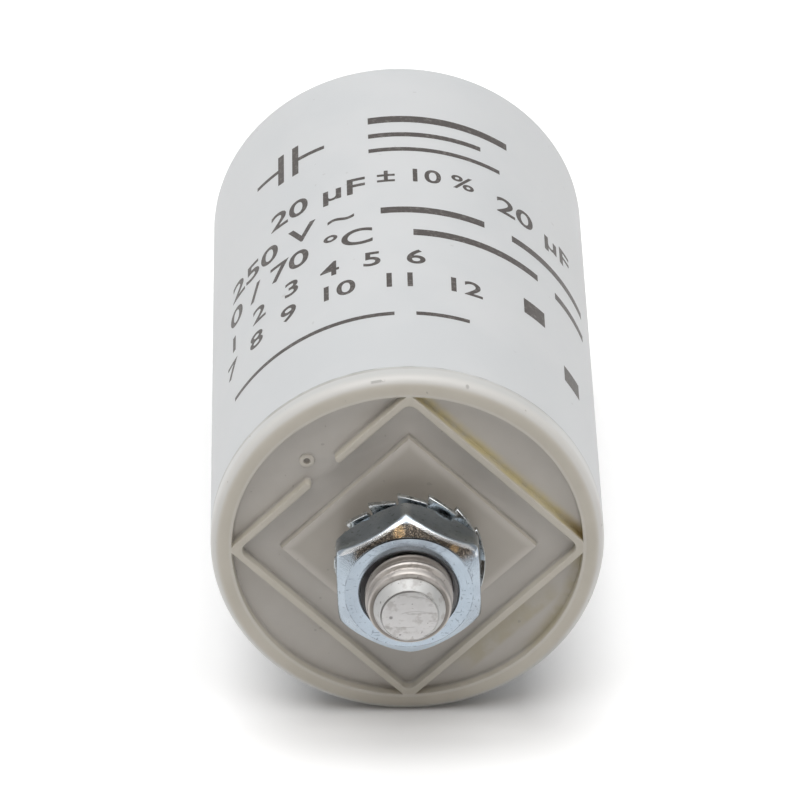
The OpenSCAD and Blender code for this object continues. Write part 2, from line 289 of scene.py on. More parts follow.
def bend(start, corner, end, steps):
    """Points along a soft corner, after its start."""
    points = []
    for i in range(1, steps + 1):
        t = i / steps
        weights = ((1 - t) ** 2, 2 * t * (1 - t), t ** 2)
        weighted = list(zip(weights, (start, corner, end)))
        points.append(tuple(sum(w * p[k] for w, p in weighted) for k in (0, 1)))
    return points


class Graph:
    """Short names for the node calls of one material, or of the world."""

    def __init__(self, tree):
        self.tree = tree

    def put(self, socket, value):
        if isinstance(value, bpy.types.NodeSocket):
            self.tree.links.new(value, socket)
        else:
            socket.default_value = value

    def add(self, kind, inputs=None, **settings):
        node = self.tree.nodes.new(kind)
        for key, value in settings.items():
            setattr(node, key, value)
        for key, value in (inputs or {}).items():
            self.put(node.inputs[key], value)
        return node

    def math(self, operation, a, b=0.0):
        return self.add("ShaderNodeMath", {0: a, 1: b}, operation=operation).outputs[0]

    def place(self):
        """Object coordinates in millimetres, as a vector and its three parts."""
        coords = self.add("ShaderNodeTexCoord").outputs["Object"]
        values = {0: coords, "Scale": 1 / MM}
        scaled = self.add("ShaderNodeVectorMath", values, operation="SCALE").outputs[0]
        parts = self.add("ShaderNodeSeparateXYZ", {0: scaled}).outputs
        return scaled, parts[0], parts[1], parts[2]

    def radius(self, x, z):
        squares = [self.math("MULTIPLY", part, part) for part in (x, z)]
        return self.math("SQRT", self.math("ADD", *squares))

    def distance(self, x, z, place):
        return self.radius(self.math("SUBTRACT", x, place[0]), self.math("SUBTRACT", z, place[1]))

    def turn(self, x, z):
        return self.math("ARCTAN2", z, x)

    def join(self, x, y, z):
        return self.add("ShaderNodeCombineXYZ", {0: x, 1: y, 2: z}).outputs[0]

    def stretch(self, vector, scale):
        return self.add("ShaderNodeMapping", {"Vector": vector, "Scale": scale}).outputs[0]

    def noise(self, vector, scale, detail):
        values = {"Vector": vector, "Scale": scale, "Detail": detail, "Roughness": 0.55}
        return self.add("ShaderNodeTexNoise", values).outputs[0]

    def smooth(self, value, low, high, out_low=0.0, out_high=1.0):
        """A soft step from out_low at low to out_high at high, which may be below low."""
        values = {0: value, 1: low, 2: high, 3: out_low, 4: out_high}
        return self.add("ShaderNodeMapRange", values, interpolation_type="SMOOTHSTEP").outputs[0]

    def both(self, *masks):
        """Product of masks or numbers."""
        product = masks[0]
        for mask in masks[1:]:
            product = self.math("MULTIPLY", product, mask)
        return product

    def either(self, *masks):
        """Largest of masks."""
        largest = masks[0]
        for mask in masks[1:]:
            largest = self.math("MAXIMUM", largest, mask)
        return largest

    def band(self, value, low, high, soft):
        """1 between low and high, falling to 0 over soft."""
        rise = self.smooth(value, low - soft, low)
        fall = self.smooth(value, high + soft, high)
        return self.both(rise, fall)

    def mix(self, share, a, b):
        node = self.add("ShaderNodeMix", data_type="RGBA")
        for index, value in ((0, share), (6, a), (7, b)):
            self.put(node.inputs[index], value)
        return node.outputs[2]

    def tint(self, colour, mask, share, other):
        """Covers a colour with another where the mask is, by a share."""
        return self.mix(self.both(mask, share), colour, other)

    def bump(self, height, strength, distance, normal=None):
        values = {"Height": height, "Strength": strength, "Distance": distance * MM}
        if normal is not None:
            values["Normal"] = normal
        return self.add("ShaderNodeBump", values).outputs[0]

    def coat(self, colour, roughness, normal=None, metallic=0.0):
        """Colour, finish and relief of the material's own shader."""
        shader = self.tree.nodes["Principled BSDF"].inputs
        values = {"Base Color": colour, "Roughness": roughness, "Metallic": metallic}
        if normal is not None:
            values["Normal"] = normal
        for key, value in values.items():
            self.put(shader[key], value)


def rgb(red, green, blue):
    return (red, green, blue, 1.0)


def material(name):
    """A new material and its graph."""
    made = bpy.data.materials.new(name)
    made.use_nodes = True
    return made, Graph(made.node_tree)


# Materials

def can_plastic():
    """Matte pale grey plastic with faint flecks and a broken dark line at the seam."""
    made, g = material("can_plastic")
    place, _, y, _ = g.place()
    cloud = g.noise(place, 0.08, 4)
    grain = g.noise(place, 9.0, 2)
    colour = g.mix(g.smooth(cloud, 0.35, 0.65), rgb(0.665, 0.685, 0.700), rgb(0.695, 0.710, 0.722))
    broken = g.smooth(g.noise(place, 0.35, 3), 0.42, 0.6, 0.05, 0.35)
    colour = g.tint(colour, g.band(y, SEAM - 0.02, SEAM + 0.04, 0.05), broken, rgb(0.20, 0.195, 0.19))
    colour = g.tint(colour, g.smooth(y, CAN_END - 0.9, CAN_END - 0.3), 0.5, rgb(0.76, 0.77, 0.78))
    fleck = g.smooth(g.noise(place, 0.9, 1), 0.77, 0.8)
    colour = g.tint(colour, fleck, 0.35, rgb(0.5, 0.5, 0.5))
    g.coat(colour, g.smooth(cloud, 0.3, 0.7, 0.42, 0.5), g.bump(grain, 0.12, 0.02))
    return made


def base_plastic():
    """Cream plastic with floors greyed by painted shade, dirt and painted shade along the feet of the ribs,
    yellow residue beside them, and painted light on the side and edges.
    """
    made, g = material("base_plastic")
    place, x, y, z = g.place()
    cloud = g.noise(place, 0.14, 4)
    grain = g.noise(place, 12.0, 2)
    clouded = g.smooth(cloud, 0.35, 0.65)
    radius = g.radius(x, z)
    u = g.math("DIVIDE", g.math("ADD", x, z), ROOT2)
    v = g.math("SUBTRACT", g.math("DIVIDE", g.math("SUBTRACT", z, x), ROOT2), RIB_SHIFT)
    square = g.math("MAXIMUM", g.math("ABSOLUTE", u), g.math("ABSOLUTE", v))
    inside = g.smooth(radius, RECESS_R + 0.2, RECESS_R - 0.1)
    deep = g.both(g.smooth(y, 0.55, 0.9), inside)
    on_platform = g.smooth(square, PLATFORM_HALF + 0.06, PLATFORM_HALF - 0.02)
    # Cream rim and ribs, with the front painted creamier than the white side of the base as warmer light on
    # the front, and a painted highlight on the rounded edge; floors greyed by painted shade; the platform
    # with a painted highlight along its edge
    colour = g.mix(clouded, rgb(0.602, 0.566, 0.492), rgb(0.642, 0.606, 0.532))
    outside = g.smooth(radius, RECESS_R + 0.4, RECESS_R + 0.8)
    colour = g.tint(colour, g.both(g.smooth(y, 0.0, 0.25), outside), 1.0, rgb(0.745, 0.738, 0.715))
    colour = g.tint(colour, g.both(g.smooth(y, 0.5, 1.3), outside), 1.0, rgb(0.648, 0.652, 0.640))
    along_seam = g.both(g.band(y, SEAM - 0.3, SEAM - 0.12, 0.2), outside)
    faint = g.smooth(g.noise(place, 0.35, 3), 0.35, 0.6, 0.6, 1.0)
    fading = g.smooth(x, -8.0, 6.0, 0.6, 0.2)
    colour = g.tint(colour, g.both(along_seam, faint), fading, rgb(0.36, 0.35, 0.31))
    # Painted highlight along the recess's inner edge
    inner_edge_highlight = g.both(g.band(radius, RECESS_R + 0.06, RECESS_R + 0.22, 0.15), g.smooth(y, 0.15, 0.05))
    colour = g.tint(colour, inner_edge_highlight, 0.6, rgb(0.690, 0.665, 0.615))
    # Floors greyed by painted shade inside the recess
    low = g.mix(clouded, rgb(0.545, 0.520, 0.486), rgb(0.580, 0.556, 0.522))
    colour = g.mix(deep, colour, low)
    between = g.both(deep, g.smooth(square, RIB_INNER, RIB_INNER - 0.1))
    colour = g.tint(colour, between, 0.07, rgb(0.25, 0.23, 0.21))
    raised = g.mix(clouded, rgb(0.446, 0.414, 0.370), rgb(0.482, 0.451, 0.404))
    colour = g.mix(on_platform, colour, raised)
    # Painted highlight along the platform's edge
    edge = g.both(on_platform, g.smooth(square, PLATFORM_HALF - 1.0, PLATFORM_HALF - 0.15))
    colour = g.tint(colour, edge, 0.9, rgb(0.600, 0.568, 0.523))
    # Painted shade along the bottom of the edge, where it meets the floor
    bottom_shade = g.both(g.smooth(z, -15.5, -17.5), g.smooth(radius, RECESS_R, CAN_R))
    colour = g.tint(colour, bottom_shade, 0.35, rgb(0.26, 0.24, 0.21))
    # Painted shade on the lower part of the rounded edge and side, stronger on the right
    lower_side_shade = g.both(g.smooth(z, -7.0, -12.0), outside, g.smooth(y, 0.0, 0.25))
    colour = g.tint(colour, lower_side_shade, g.smooth(x, -12.0, 12.0, 0.12, 0.45), rgb(0.36, 0.35, 0.325))
    # Dirt and painted shade along the feet of the ribs, of the rim and of the platform
    beside_gap = g.math("ABSOLUTE", g.math("SUBTRACT", u, GAP_SHIFT))
    gap = g.both(g.smooth(v, 8.0, 9.0), g.smooth(beside_gap, GAP_HALF, GAP_HALF - 0.6))
    no_gap = g.math("SUBTRACT", 1.0, gap)
    rib_feet = g.either(
        g.band(square, RIB_INNER - 0.16, RIB_INNER, 0.18),
        g.band(square, RIB_OUTER, RIB_OUTER + 0.16, 0.18),
    )
    rim_foot = g.band(radius, RECESS_R - 0.15, RECESS_R, 0.22)
    platform_foot = g.band(square, PLATFORM_HALF + 0.08, PLATFORM_HALF + 0.16, 0.12)
    feet = g.either(g.both(rib_feet, no_gap), rim_foot, g.both(platform_foot, 1.2))
    dirt_and_shade = g.both(feet, g.smooth(y, 0.45, 0.9))
    patchy = g.smooth(g.noise(place, 0.5, 3), 0.3, 0.62, 0.35, 1.0)
    colour = g.tint(colour, g.both(dirt_and_shade, patchy), 0.2, rgb(0.20, 0.175, 0.14))
    # The ring mark, as pale as the ribs, with its hole darkened as painted shade
    from_ring = g.distance(x, z, RING_PLACE)
    on_ring = g.smooth(from_ring, RING_R + 0.05, RING_R - 0.05)
    colour = g.tint(colour, on_ring, 1.0, rgb(0.64, 0.605, 0.545))
    in_hole = g.smooth(from_ring, RING_HOLE + 0.04, RING_HOLE - 0.1)
    colour = g.tint(colour, in_hole, 0.8, rgb(0.16, 0.14, 0.12))
    # Yellow residue outside the upper right rib, along the rim on the right and in a streak below
    beside = g.both(g.band(u, RIB_OUTER - 0.1, RIB_OUTER + 0.2, 0.9), g.smooth(x, -0.5, 0.8))
    pool = g.both(beside, g.smooth(x, 13.0, 16.0))
    along_rim = g.both(
        g.smooth(radius, RECESS_R - 1.3, RECESS_R - 0.1),
        g.smooth(x, 9.0, 14.0),
        g.band(z, -10.5, 0.0, 2.5),
    )
    streak = g.both(g.band(v, -13.6, -12.3, 0.5), g.band(u, -4.0, 4.0, 3.0))
    sunk = g.both(g.smooth(y, 0.1, 0.5), inside)
    colour = g.tint(colour, g.both(beside, sunk, patchy), 0.85, rgb(0.66, 0.575, 0.31))
    along = g.either(g.both(along_rim, 0.7), g.both(streak, 0.5))
    colour = g.tint(colour, g.both(along, sunk, patchy), 0.85, rgb(0.41, 0.35, 0.17))
    colour = g.tint(colour, g.both(pool, sunk), 0.7, rgb(0.30, 0.21, 0.06))
    # A rubbed dark mark and a nick on the upper edge
    mark = g.both(g.band(x, -3.2, -2.2, 0.25), g.band(y, 0.36, 0.46, 0.1), g.smooth(z, 16.5, 17.0))
    rubbed = g.smooth(g.noise(g.stretch(place, (1.2, 3, 3)), 2.0, 2), 0.38, 0.52)
    nick = g.distance(x, y, (5.4, 0.42))
    nicked = g.both(g.smooth(nick, 0.22, 0.08), g.smooth(z, 16.0, 16.5))
    colour = g.tint(colour, g.either(g.both(mark, rubbed), nicked), 0.5, rgb(0.2, 0.19, 0.18))
    speck = g.smooth(g.noise(place, 1.3, 1), 0.76, 0.79)
    colour = g.tint(colour, speck, 0.4, rgb(0.3, 0.28, 0.25))
    g.coat(colour, g.smooth(cloud, 0.3, 0.7, 0.28, 0.36), g.bump(grain, 0.10, 0.02))
    return made


def nut_zinc():
    """Bluish plating with turned rings, scratches and dark pores, paler along the corners, and painted
    reflections and highlights on its cones.
    """
    made, g = material("nut_zinc")
    place, x, y, z = g.place()
    radius = g.radius(x, z)
    turn = g.turn(x, z)
    cloud = g.noise(place, 0.45, 4)
    fine = g.noise(place, 6.0, 3)
    face = g.smooth(y, NUT_FRONT + 0.06, NUT_FRONT + 0.01)
    cone = g.both(
        g.smooth(y, NUT_FRONT + 0.02, NUT_FRONT + 0.08),
        g.smooth(y, NUT_FRONT + 1.3, NUT_FRONT + 1.0),
    )
    rings = g.noise(g.join(g.both(radius, 6.0), g.both(turn, 0.8), 0.0), 1.0, 3)
    colour = g.mix(g.smooth(cloud, 0.35, 0.65), rgb(0.37, 0.425, 0.485), rgb(0.42, 0.48, 0.54))
    colour = g.tint(colour, g.both(face, g.smooth(rings, 0.3, 0.7)), 0.7, rgb(0.40, 0.47, 0.54))
    colour = g.tint(colour, g.smooth(radius, 7.15, 7.4), 0.5, rgb(0.75, 0.79, 0.83))
    pore = g.smooth(g.noise(place, 2.6, 2), 0.63, 0.70)
    nick = g.smooth(g.noise(g.stretch(place, (0.6, 3.0, 3.5)), 1.6, 2), 0.66, 0.71)
    curl = g.smooth(g.noise(g.join(g.both(radius, 7.0), g.both(turn, 1.6), 4.0), 1.0, 2), 0.67, 0.71)
    marks = g.either(pore, nick, g.both(curl, face))
    colour = g.tint(colour, marks, 0.5, rgb(0.12, 0.13, 0.15))
    broken = g.smooth(g.noise(place, 1.4, 3), 0.35, 0.6)
    circle = g.both(g.band(radius, NUT_FACE_R - 0.01, NUT_FACE_R + 0.05, 0.04), broken)
    colour = g.tint(colour, circle, 0.6, rgb(0.16, 0.17, 0.19))
    # Painted reflection on the upper cone: a brown bloom with painted gold glints, inside a painted
    # highlight along its edge; and a duller upper part of the face
    across = []
    for corner in (30, 90, 150):
        tilt = math.radians(NUT_TURN + corner)
        along = g.math("ADD", g.both(x, math.cos(tilt)), g.both(z, math.sin(tilt)))
        across.append(g.math("ABSOLUTE", along))
    to_flat = g.either(*across)
    off_edge = g.smooth(to_flat, NUT_HALF - 0.22, NUT_HALF - 0.4)
    off_face = g.smooth(radius, NUT_FACE_R + 0.06, NUT_FACE_R + 0.16)
    between = g.both(off_edge, off_face, g.smooth(radius, 7.0, 6.75))
    upper = g.both(cone, between, g.smooth(z, 3.0, 3.9), g.smooth(x, -5.4, -4.5))
    edge_highlight = g.band(to_flat, NUT_HALF - 0.34, NUT_HALF - 0.1, 0.08)
    colour = g.tint(colour, g.both(cone, edge_highlight, g.smooth(z, 3.1, 3.5)), 0.75, rgb(0.95, 0.96, 0.97))
    reflection_noise = g.smooth(g.noise(place, 7.0, 3), 0.42, 0.66)
    painted_reflection = g.mix(reflection_noise, rgb(0.075, 0.062, 0.05), rgb(0.48, 0.42, 0.355))
    glint_patches = []
    for px, pz, reach in NUT_GOLD_GLINTS:
        glint_patches.append(g.smooth(g.distance(x, z, (px, pz)), reach, 0.2))
    gold_glint = g.smooth(reflection_noise, 0.0, 1.0, 0.5, 0.9)
    painted_reflection = g.tint(painted_reflection, g.either(*glint_patches), gold_glint, rgb(0.95, 0.70, 0.40))
    colour = g.mix(g.both(upper, 0.95), colour, painted_reflection)
    dull = g.both(face, g.smooth(z, 3.6, 5.4), g.smooth(g.noise(place, 1.5, 3), 0.3, 0.6, 0.4, 1.0))
    colour = g.tint(colour, dull, 0.5, rgb(0.20, 0.22, 0.25))
    colour = g.tint(colour, g.both(face, g.smooth(x, -3.5, -5.5)), 0.22, rgb(0.20, 0.22, 0.26))
    inner = g.both(
        g.smooth(radius, NUT_MOUTH_R - 0.02, NUT_MOUTH_R - 0.2),
        g.smooth(y, NUT_FRONT, NUT_FRONT + 0.1),
    )
    colour = g.tint(colour, inner, 0.8, rgb(0.74, 0.75, 0.78))
    rough = g.smooth(fine, 0.3, 0.7, 0.13, 0.23)
    # Painted reflection of the bright floor on the lower cone, which is also made rougher
    below = g.both(cone, g.smooth(z, -2.0, -5.0))
    colour = g.tint(colour, below, 0.7, rgb(0.62, 0.71, 0.80))
    rough = g.math("ADD", g.math("SUBTRACT", rough, g.both(cone, 0.06)), g.both(below, 0.3))
    rough = g.math("ADD", rough, g.both(inner, 0.35))
    speckle = g.bump(g.both(cone, g.noise(place, 11.0, 3)), 0.6, 0.05)
    g.coat(colour, rough, g.bump(g.both(face, rings), 0.25, 0.03, speckle), metallic=1.0)
    return made


def washer_zinc():
    """Grey glassy plating with bright streaks and dark pores."""
    made, g = material("washer_zinc")
    place = g.place()[0]
    cloud = g.noise(place, 0.9, 4)
    colour = g.mix(g.smooth(cloud, 0.35, 0.65), rgb(0.45, 0.475, 0.485), rgb(0.62, 0.645, 0.655))
    streak = g.smooth(g.noise(g.stretch(place, (1.0, 2.5, 1.0)), 1.7, 2), 0.55, 0.7)
    colour = g.tint(colour, streak, 0.6, rgb(0.66, 0.70, 0.73))
    pore = g.smooth(g.noise(place, 2.2, 2), 0.6, 0.68)
    colour = g.tint(colour, pore, 0.6, rgb(0.10, 0.11, 0.12))
    g.coat(colour, g.smooth(cloud, 0.3, 0.7, 0.2, 0.34), g.bump(cloud, 0.4, 0.1), metallic=1.0)
    return made


def stud_metal():
    """Dull turned metal: brownish thread, paler pilot, greyer tip with blots, pits and faint scratches, and
    painted shade in the crease, towards the nut, on the sides and at the tip's edge.
    """
    made, g = material("stud_metal")
    place, x, y, z = g.place()
    cloud = g.noise(place, 0.7, 4)
    clouded = g.smooth(cloud, 0.3, 0.7)
    turned_lines = g.noise(g.stretch(place, (0.3, 9.0, 0.3)), 1.0, 3)
    pilot = g.smooth(y, PILOT_START + 0.12, PILOT_START + 0.02)
    tip = g.smooth(y, TIP + 0.12, TIP + 0.05)
    colour = g.mix(clouded, rgb(0.64, 0.605, 0.575), rgb(0.72, 0.685, 0.655))
    colour = g.mix(pilot, colour, g.mix(clouded, rgb(0.64, 0.645, 0.64), rgb(0.71, 0.71, 0.705)))
    colour = g.mix(tip, colour, g.mix(clouded, rgb(0.59, 0.585, 0.585), rgb(0.67, 0.665, 0.665)))
    radius = g.radius(x, z)
    # Dirt and painted shade in the crease behind the pilot, stronger away from the top
    crease = g.both(
        g.band(radius, PILOT_R - 0.02, PILOT_R + 0.3, 0.25),
        g.band(y, PILOT_START + 0.03, PILOT_START + 0.2, 0.03),
    )
    colour = g.tint(colour, crease, g.smooth(z, 1.5, 3.0, 0.8, 0.3), rgb(0.13, 0.115, 0.10))
    # Dirt and painted shade on the thread towards the nut
    under_nut = g.smooth(y, THREAD_END + 0.3, THREAD_END + 1.1)
    colour = g.tint(colour, under_nut, 0.6, rgb(0.22, 0.195, 0.175))
    # Painted shadow of the proud tip on its gap, a dark line round the upper left of its edge
    upper_left = g.smooth(g.math("SUBTRACT", z, x), 0.8, 3.0)
    rim = g.both(
        g.band(radius, TIP_R - 0.03, TIP_R + 0.08, 0.05),
        g.smooth(y, TIP + 0.02, TIP + 0.08),
        upper_left,
    )
    colour = g.tint(colour, rim, 0.6, rgb(0.12, 0.11, 0.10))
    # Painted shade on the thread away from its top
    sides = g.both(g.smooth(y, PILOT_START + 0.1, PILOT_START + 0.3), g.smooth(z, 3.2, 1.6))
    colour = g.tint(colour, sides, 0.65, rgb(0.26, 0.245, 0.235))
    # Painted shade on the pilot away from its top
    pilot_side_shade = g.both(g.band(y, TIP + 0.15, PILOT_START, 0.05), g.smooth(z, 2.6, 0.8))
    colour = g.tint(colour, pilot_side_shade, 0.3, rgb(0.32, 0.32, 0.325))
    blot = g.smooth(g.noise(place, 1.1, 4), 0.52, 0.66)
    colour = g.tint(colour, blot, 0.4, rgb(0.34, 0.315, 0.30))
    smear = g.smooth(g.noise(g.stretch(place, (0.5, 1.0, 1.6)), 1.3, 3), 0.56, 0.66)
    colour = g.tint(colour, g.both(tip, smear), 0.35, rgb(0.30, 0.29, 0.28))
    dent = g.distance(x, z, (-1.7, -0.1))
    pit = g.either(g.smooth(g.noise(place, 2.4, 1), 0.72, 0.76), g.smooth(dent, 0.22, 0.1))
    colour = g.tint(colour, pit, 0.6, rgb(0.14, 0.13, 0.13))
    wide = g.distance(x, z, (0.6, -3.4))
    flat = g.distance(x, z, (-0.4, 4.6))
    scratch = g.either(
        g.both(g.band(wide, 3.92, 3.97, 0.04), g.band(x, -0.6, 1.9, 0.3)),
        g.both(g.band(flat, 5.75, 5.8, 0.04), g.band(x, -1.3, 0.3, 0.3)),
    )
    colour = g.tint(colour, g.both(tip, scratch), 0.25, rgb(0.22, 0.21, 0.20))
    rough = g.math("ADD", g.smooth(cloud, 0.3, 0.7, 0.50, 0.60), g.both(pilot, 0.1))
    relief = g.bump(turned_lines, 0.15, 0.03, g.bump(blot, 0.2, 0.03))
    g.coat(colour, rough, relief, metallic=1.0)
    return made


def tin():
    """Tin plating with fine rolled lines."""
    made, g = material("tin")
    place = g.place()[0]
    cloud = g.noise(place, 0.6, 4)
    rolled = g.noise(g.stretch(place, (9.0, 0.4, 9.0)), 1.0, 3)
    colour = g.mix(g.smooth(cloud, 0.35, 0.65), rgb(0.70, 0.69, 0.67), rgb(0.80, 0.79, 0.77))
    g.coat(colour, g.smooth(rolled, 0.3, 0.7, 0.24, 0.36), g.bump(rolled, 0.12, 0.02), metallic=1.0)
    return made


def speckled(name, low, high, roughness, metallic=0.0):
    """A plain material with clouds of two colours, for the pieces inside."""
    made, g = material(name)
    place = g.place()[0]
    cloud = g.noise(place, 0.5, 4)
    colour = g.mix(g.smooth(cloud, 0.35, 0.65), low, high)
    rough = g.smooth(cloud, 0.3, 0.7, roughness, roughness + 0.12)
    g.coat(colour, rough, g.bump(g.noise(place, 6.0, 2), 0.15, 0.02), metallic)
    return made


def ink():
    """Dark ink, worn paler in places."""
    made, g = material("ink")
    worn = g.smooth(g.noise(g.place()[0], 2.6, 3), 0.5, 0.72)
    colour = g.mix(g.both(worn, 0.5), rgb(0.085, 0.075, 0.07), rgb(0.30, 0.285, 0.27))
    g.coat(colour, g.smooth(worn, 0.0, 1.0, 0.45, 0.6))
    return made


# Pieces

def can_shell(surface):
    """The can: a tube with a soft seam edge, and a far end with a sunk field and two pads."""
    inside = CAN_R - CAN_WALL
    field = CAN_R - END_RIM
    floor_y = CAN_END - END_RECESS
    profile = [(0, floor_y), (field - 2 * END_LIP, floor_y), (field - END_LIP, floor_y + 0.02)]
    profile += [(field, floor_y + END_LIP), (field, CAN_END - END_LIP)]
    profile += [(field + 0.04, CAN_END - 0.04), (field + END_LIP, CAN_END)]
    profile += arc((CAN_R - END_EDGE, CAN_END - END_EDGE), END_EDGE, 90, 0, EDGE_STEPS)
    profile += [(CAN_R, SEAM + SEAM_BEVEL), (CAN_R - SEAM_BEVEL, SEAM)]
    profile += [(inside, SEAM), (inside, CAN_END - END_WALL), (0, CAN_END - END_WALL)]
    shape = Shape()
    shape.revolve(profile)
    for node in ("terminal_left", "terminal_right"):
        low, high = span(node)
        size = high - low
        pad(shape, (low.x + high.x) / 2, size.x + 2 * PAD_MARGIN, size.z + 2 * PAD_MARGIN)
    piece = shape.piece("can_shell", surface)
    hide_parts("can_body")


def rounded_rectangle(width, length, corner, steps=6):
    """Points (x, z) round a rectangle whose middle is the origin."""
    points = []
    for k, (sx, sz) in enumerate(((1, 1), (-1, 1), (-1, -1), (1, -1))):
        centre = (sx * (width / 2 - corner), sz * (length / 2 - corner))
        points += arc(centre, corner, 90 * k, 90 * k + 90, steps)
    return points


def pad(shape, middle, width, length):
    """A raised pad under a terminal."""
    rows = [(-0.05, CAN_END - END_RECESS - 0.1), (0.0, CAN_END - END_LIP)]
    rows += [(END_LIP * 0.3, CAN_END - END_LIP * 0.3), (END_LIP, CAN_END)]
    outlines = []
    for inset, y in rows:
        outline = rounded_rectangle(width - 2 * inset, length - 2 * inset, PAD_CORNER - inset)
        outlines.append([(middle + px, y, pz) for px, pz in outline])
    rings = shape.skin(outlines)
    shape.fill(rings[0])
    shape.fill(rings[-1])


def turned(u, v):
    """From the rib square's own axes to x and z."""
    return (u - v) / ROOT2, (u + v) / ROOT2


def segment_outline(middle, inset):
    """Pocket between the rim and one rib, whose middle lies in direction middle."""
    line = RIB_OUTER + inset - (RIB_SHIFT if middle == -45 else 0.0)
    radius = RECESS_R - inset
    half = math.degrees(math.acos(line / radius))
    return arc((0, 0), radius, middle - half, middle + half, RIM_STEPS)


def inner_outline(inset):
    """Pocket inside the ribs, with the gap in the upper left rib and the segment behind it."""
    side = RIB_INNER - inset
    corner = RIB_CORNER - inset
    end = RIB_WIDTH / 2 + inset
    radius = RECESS_R - inset
    half = math.degrees(math.acos((RIB_OUTER + RIB_SHIFT + inset) / radius))
    points = arc((GAP_SHIFT - GAP_HALF, RIB_MID + RIB_SHIFT), end, -90, 90, RIB_END_STEPS)
    points += arc((0, 0), radius, 90 + half, 90 - half, RIM_STEPS)
    points += arc((GAP_SHIFT + GAP_HALF, RIB_MID + RIB_SHIFT), end, 90, 270, RIB_END_STEPS)
    for k, (su, sv) in enumerate(SQUARE):
        centre = (su * (side - corner), sv * (side - corner) + RIB_SHIFT)
        points += arc(centre, corner, 90 - 90 * k, -90 * k, RIB_CORNER_STEPS)
    return [turned(u, v) for u, v in points]


def pocket_rows():
    """Inset and depth down a pocket's wall: rounded top edge, drafted wall, hollow at the foot."""
    turns = [math.radians(90 * i / FILLET_STEPS) for i in range(FILLET_STEPS + 1)]
    rows = [(TOP_ROUND * (math.sin(t) - 1), TOP_ROUND * (1 - math.cos(t))) for t in turns]
    for t in turns:
        inset = WALL_DRAFT + FOOT_ROUND * (1 - math.cos(t))
        rows.append((inset, RECESS_DEPTH - FOOT_ROUND * (1 - math.sin(t))))
    return rows


def pocket(shape, outline):
    """Walls of one pocket. Returns its upper and lower edge."""
    rings = shape.skin([(x, depth, z) for x, z in outline(inset)] for inset, depth in pocket_rows())
    return rings[0], rings[-1]


def platform(shape):
    """The raised square in the middle. Returns its foot."""
    top = RECESS_DEPTH - PLATFORM_RISE
    foot = PLATFORM_HALF + PLATFORM_SLOPE
    rows = [(foot + 0.06, RECESS_DEPTH), (foot + 0.01, RECESS_DEPTH - 0.02)]
    rows += [(foot - 0.01, RECESS_DEPTH - 0.08), (PLATFORM_HALF + 0.01, top + 0.1)]
    rows += [(PLATFORM_HALF - 0.02, top + 0.03), (PLATFORM_HALF - 0.1, top)]
    outlines = []
    for half, depth in rows:
        corners = [turned(half * su, half * sv + RIB_SHIFT) for su, sv in SQUARE]
        outlines.append([(x, depth, z) for x, z in corners])
    rings = shape.skin(outlines)
    shape.fill(rings[-1])
    return rings[0]


def base_moulding(surface):
    """The base cap: rounded edge, four pockets round the ribs, platform, ring mark, spigot and boss."""
    shape = Shape()
    outside = arc((CAN_R - BASE_EDGE, BASE_EDGE), BASE_EDGE, -90, 0, EDGE_STEPS)
    outside += [(CAN_R, SEAM - SEAM_BEVEL), (CAN_R - SEAM_BEVEL, SEAM)]
    spigot = CAN_R - CAN_WALL - SPIGOT_GAP
    lip = SEAM + SPIGOT_LENGTH
    outside += [(spigot, SEAM), (spigot, lip)]
    outside += [(spigot - SPIGOT_WALL, lip), (spigot - SPIGOT_WALL, SHELF)]
    outside += [(BOSS_R, SHELF), (BOSS_R, base_high.y), (0, base_high.y)]
    rim = shape.revolve(outside)[0]
    mouths = []
    for middle in (45, -45, -135):
        mouth, foot = pocket(shape, lambda inset, m=middle: segment_outline(m, inset))
        shape.fill(foot)
        mouths.append(mouth)
    mouth, foot = pocket(shape, inner_outline)
    mouths.append(mouth)
    shape.fill(foot, platform(shape))
    shape.fill(rim, *mouths)
    crown = RECESS_DEPTH - RING_RISE
    ring = [(RING_HOLE - 0.05, RECESS_DEPTH + 0.05), (RING_HOLE, crown + 0.05)]
    ring += [(RING_HOLE + 0.08, crown), (RING_R - 0.1, crown)]
    ring += [(RING_R, crown + 0.06), (RING_R + 0.06, RECESS_DEPTH + 0.05)]
    shape.revolve(ring + ring[:1], RING_SEGMENTS, RING_PLACE)
    piece = shape.piece("base_moulding", surface)
    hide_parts("base_cap")


def hex_radius(flats, turn, corner_at):
    """Distance from the axis to the side of a hexagon in direction turn, with a corner at corner_at."""
    off = (turn - corner_at) % (math.pi / 3) - math.pi / 6
    return flats / 2 / math.cos(off)


def thread_depth(y, turn):
    """Depth of the thread's groove: steep flanks, narrow worn crests, flat roots, none at the shoulder."""
    phase = ((y - CREST) / PITCH + turn / (2 * math.pi) - 0.25) % 1.0
    off_crest = min(phase, 1.0 - phase) * PITCH
    fade = min(max((y - SHOULDER - FADE_START) / FADE_LENGTH, 0.0), 1.0)
    crest = (off_crest - CREST_HALF) * CREST_SLOPE
    flank = (off_crest - FLANK_START) * FLANK_SLOPE
    return fade * min(max(crest, flank, 0.0), THREAD_DEPTH)


def lead_in(y):
    """How far the thread's end is bevelled away."""
    return max(THREAD_END - y, 0.0) * LEAD_IN_SLOPE


